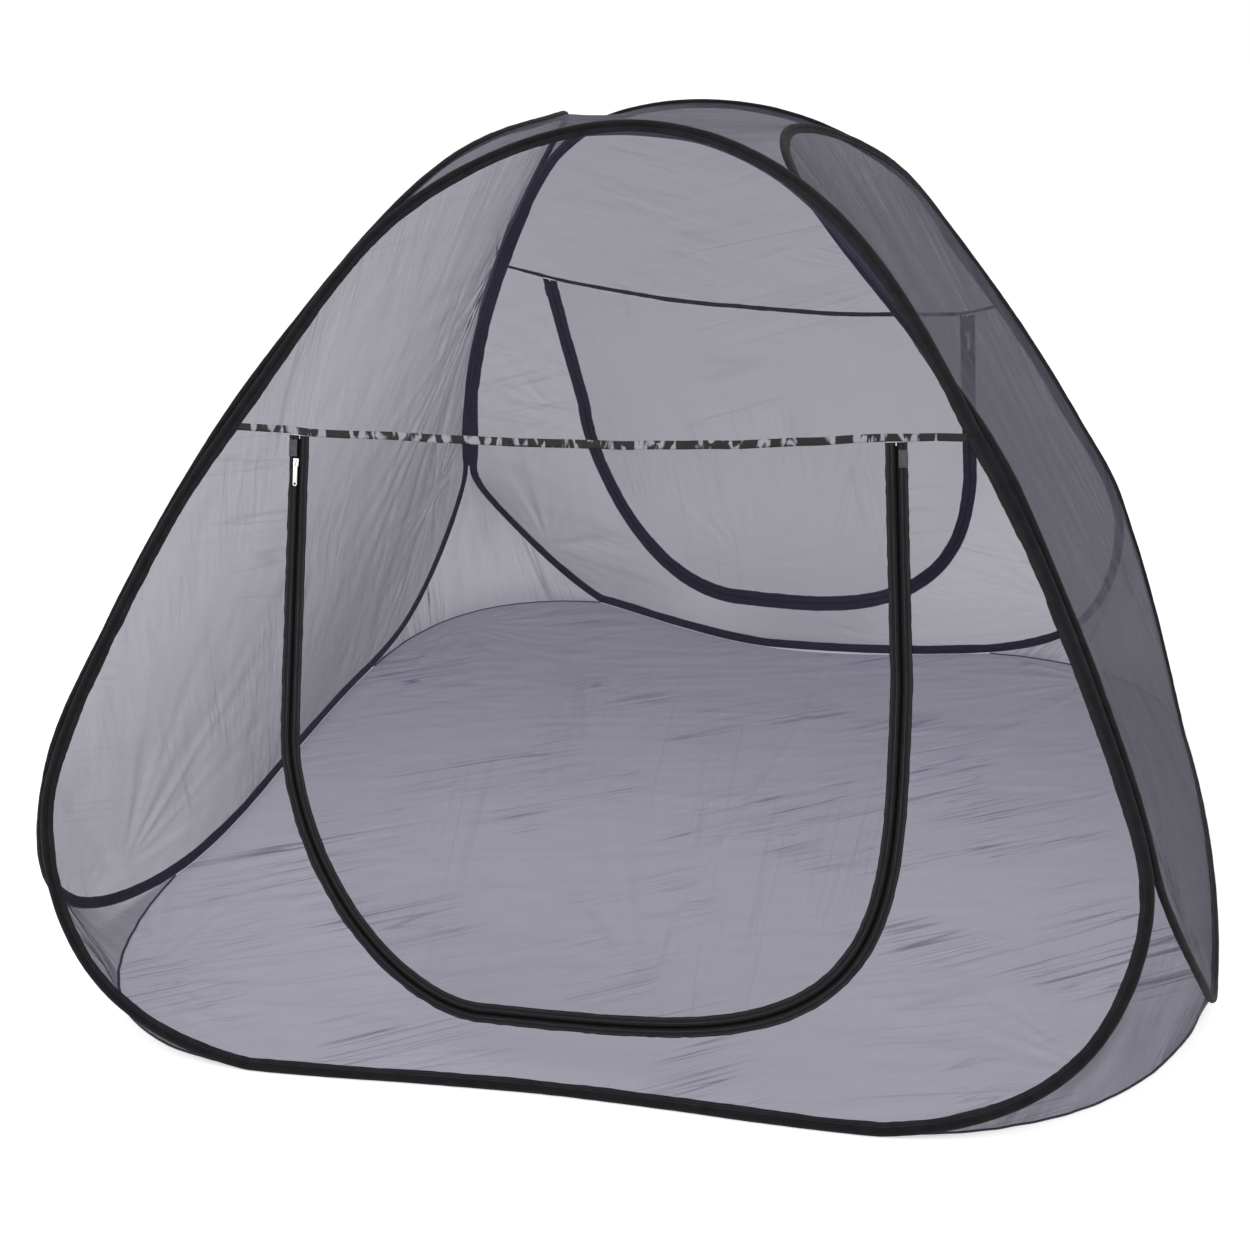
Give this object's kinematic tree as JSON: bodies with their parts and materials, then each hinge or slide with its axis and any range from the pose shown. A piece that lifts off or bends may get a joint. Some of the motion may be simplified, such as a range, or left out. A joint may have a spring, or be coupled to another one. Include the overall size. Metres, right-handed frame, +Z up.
{
  "type": "pop-up mosquito net tent",
  "caption": "Free-standing pop-up mosquito net tent: sprung wire hoops in fabric sleeves, net walls, roof and floor, and a zipped door in each end wall.",
  "frame": {"origin": "on the ground, under the middle of the tent", "axes": "+Z up; the front end wall faces -Y and the back end wall +Y; +X is the tent's right side seen from the front"},
  "size_m": [2.1678, 2.4895, 1.5208],
  "materials": {
    "wire": "dull spring steel",
    "ferrule": "dull crimped steel tube",
    "sleeve": "black woven binding, matte",
    "net": "grey-violet knitted mosquito net, see-through",
    "hinge_tape": "black tape with worn, irregular pale patches",
    "zip_tape": "black woven zip tape, matte",
    "zip_coil": "black nylon coil",
    "end_patch": "grey translucent reinforcing strip",
    "zip_metal": "bright zinc alloy"
  },
  "bodies": {
    "tent": {"front_hoop_sleeve": "sleeve", "front_hoop_wire": "wire", "front_hoop_ferrule": "ferrule", "left_hoop_sleeve": "sleeve", "left_hoop_wire": "wire", "left_hoop_ferrule": "ferrule", "back_hoop_sleeve": "sleeve", "back_hoop_wire": "wire", "back_hoop_ferrule": "ferrule", "right_hoop_sleeve": "sleeve", "right_hoop_wire": "wire", "right_hoop_ferrule": "ferrule", "left_net": "net", "right_net": "net", "roof_net": "net", "floor_net": "net", "front_left_gusset": "net", "front_right_gusset": "net", "back_right_gusset": "net", "back_left_gusset": "net", "front_hinge_tape": "hinge_tape", "front_upper_net": "net", "front_lower_net": "net", "front_wall_zip_coil": "zip_coil", "front_wall_zip_tape": "zip_tape", "front_left_zip_patch": "end_patch", "front_right_zip_patch": "end_patch", "back_hinge_tape": "hinge_tape", "back_upper_net": "net", "back_lower_net": "net", "back_wall_zip_coil": "zip_coil", "back_wall_zip_tape": "zip_tape", "back_left_zip_patch": "end_patch", "back_right_zip_patch": "end_patch"},
    "front_door": {"front_door_net": "net", "front_door_zip_coil": "zip_coil", "front_door_zip_tape": "zip_tape"},
    "front_slider": {"front_zip_slider": "zip_metal"},
    "front_outer_pull": {"front_outer_pull": "zip_metal"},
    "front_inner_pull": {"front_inner_pull": "zip_metal"},
    "back_door": {"back_door_net": "net", "back_door_zip_coil": "zip_coil", "back_door_zip_tape": "zip_tape"},
    "back_slider": {"back_zip_slider": "zip_metal"},
    "back_outer_pull": {"back_outer_pull": "zip_metal"},
    "back_inner_pull": {"back_inner_pull": "zip_metal"}
  },
  "joints": [
    {"name": "front_door_swing", "type": "hinge", "parent": "tent", "child": "front_door", "pos_m": [-0.03301, -0.86713, 1.04659], "axis": [-0.9994, 0.001, -0.0333], "range_deg": [0, 160]},
    {"name": "front_slider_run", "type": "slide", "parent": "tent", "child": "front_slider", "axis": [0.0142, -0.3001, -0.9538], "range_m": [0, 0.45]},
    {"name": "front_outer_pull_swing", "type": "hinge", "parent": "front_slider", "child": "front_outer_pull", "pos_m": [-0.55589, -0.88328, 0.98714], "axis": [-0.9998, 0.0062, -0.0168], "range_deg": [0, 170]},
    {"name": "front_inner_pull_swing", "type": "hinge", "parent": "front_slider", "child": "front_inner_pull", "pos_m": [-0.55581, -0.87575, 0.98477], "axis": [0.9998, -0.0062, 0.0168], "range_deg": [-15, 150]},
    {"name": "back_door_swing", "type": "hinge", "parent": "tent", "child": "back_door", "pos_m": [-0.03299, 0.75991, 0.98193], "axis": [0.9987, 0.0127, -0.0502], "range_deg": [0, 160]},
    {"name": "back_slider_run", "type": "slide", "parent": "tent", "child": "back_slider", "axis": [0.0402, 0.4152, -0.9089], "range_m": [0, 0.45]},
    {"name": "back_outer_pull_swing", "type": "hinge", "parent": "back_slider", "child": "back_outer_pull", "pos_m": [0.47838, 0.78805, 0.91683], "axis": [0.9991, -0.0252, 0.0327], "range_deg": [0, 170]},
    {"name": "back_inner_pull_swing", "type": "hinge", "parent": "back_slider", "child": "back_inner_pull", "pos_m": [0.47831, 0.78086, 0.91354], "axis": [-0.9991, 0.0252, -0.0327], "range_deg": [-21, 150]}
  ]
}
